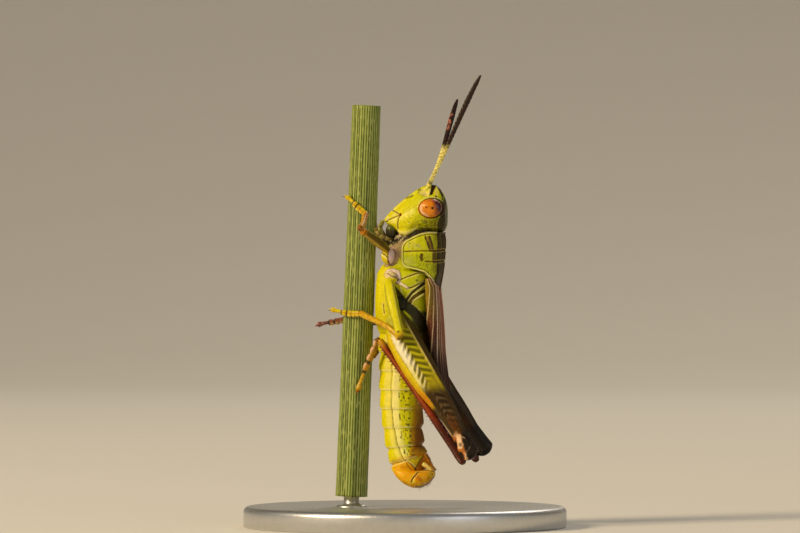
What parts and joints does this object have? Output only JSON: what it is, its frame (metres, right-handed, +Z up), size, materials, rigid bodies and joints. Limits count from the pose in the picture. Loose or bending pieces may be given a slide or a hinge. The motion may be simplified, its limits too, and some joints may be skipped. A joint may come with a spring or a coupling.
{
  "type": "grasshopper",
  "caption": "Still life-size model of a green meadow grasshopper clinging head up to a cut rush stem, on a plain round display stand.",
  "frame": {"origin": "centre of the underside of the display stand's round base", "axes": "+Z up, along the climbing animal towards its head; +X towards its back; -Y towards its left side"},
  "size_m": [0.017, 0.017, 0.0238],
  "materials": {
    "lime_cuticle": "waxy yellow-green insect cuticle, finely pitted, satin",
    "yellow_cuticle": "smooth pale yellow insect cuticle, satin",
    "dark_cuticle": "red-brown to black insect cuticle, satin",
    "wing_membrane": "brown veined wing cover, silky",
    "compound_eye": "smooth glossy orange compound eye",
    "rush_stem": "ribbed green rush, waxy",
    "satin_aluminium": "satin anodised"
  },
  "bodies": {
    "root": {"abdomen_1": "yellow_cuticle", "abdomen_2": "yellow_cuticle", "abdomen_3": "yellow_cuticle", "abdomen_4": "yellow_cuticle", "abdomen_5": "yellow_cuticle", "abdomen_6": "yellow_cuticle", "abdomen_7": "yellow_cuticle", "abdomen_8": "yellow_cuticle", "antenna_base_left": "lime_cuticle", "antenna_base_right": "lime_cuticle", "antenna_left": "dark_cuticle", "antenna_right": "dark_cuticle", "cercus_left": "yellow_cuticle", "cercus_right": "yellow_cuticle", "epiproct": "yellow_cuticle", "eye_left": "compound_eye", "eye_right": "compound_eye", "fore_coxa_left": "lime_cuticle", "fore_coxa_right": "lime_cuticle", "fore_femur_left": "lime_cuticle", "fore_femur_right": "lime_cuticle", "fore_tarsus_left": "yellow_cuticle", "fore_tarsus_right": "yellow_cuticle", "fore_tibia_left": "dark_cuticle", "fore_tibia_right": "dark_cuticle", "head": "lime_cuticle", "hind_coxa_left": "lime_cuticle", "hind_coxa_right": "lime_cuticle", "hind_femur_left": "lime_cuticle", "hind_femur_right": "lime_cuticle", "hind_tarsus_left": "yellow_cuticle", "hind_tarsus_right": "yellow_cuticle", "hind_tibia_left": "dark_cuticle", "hind_tibia_right": "dark_cuticle", "labrum": "lime_cuticle", "mandible_left": "dark_cuticle", "mandible_right": "dark_cuticle", "mid_coxa_left": "lime_cuticle", "mid_coxa_right": "lime_cuticle", "mid_femur_left": "lime_cuticle", "mid_femur_right": "lime_cuticle", "mid_tarsus_left": "yellow_cuticle", "mid_tarsus_right": "yellow_cuticle", "mid_tibia_left": "dark_cuticle", "mid_tibia_right": "dark_cuticle", "palp_left": "dark_cuticle", "palp_right": "dark_cuticle", "perch_stem": "rush_stem", "pronotum": "lime_cuticle", "prothorax": "lime_cuticle", "stand_base": "satin_aluminium", "stand_rod": "satin_aluminium", "subgenital_plate": "yellow_cuticle", "tegmen_left": "wing_membrane", "tegmen_right": "wing_membrane", "thorax": "lime_cuticle"}
  },
  "joints": []
}
